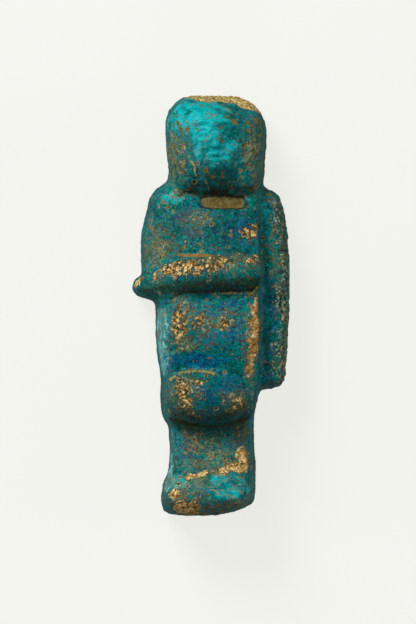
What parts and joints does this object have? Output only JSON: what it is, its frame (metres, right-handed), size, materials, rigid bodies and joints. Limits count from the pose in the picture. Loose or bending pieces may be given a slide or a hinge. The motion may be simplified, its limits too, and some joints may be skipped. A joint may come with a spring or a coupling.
{
  "type": "ushabti figurine",
  "caption": "Small pressed faience funerary figure in a plain wig and a kilt with a projecting apron, one forearm across the waist, lying on its flat back.",
  "frame": {"origin": "middle of the length and width, on the plane of the flat back", "axes": "+Y from the feet to the crown, +Z out of the figure's front, +X towards the hanging arm"},
  "size_m": [0.0332, 0.0884, 0.0238],
  "materials": {
    "faience": "semi-gloss blue-green glaze, pitted and worn to a sandy brown body on raised edges"
  },
  "bodies": {
    "root": {"ushabti_figurine": "faience"}
  },
  "joints": []
}
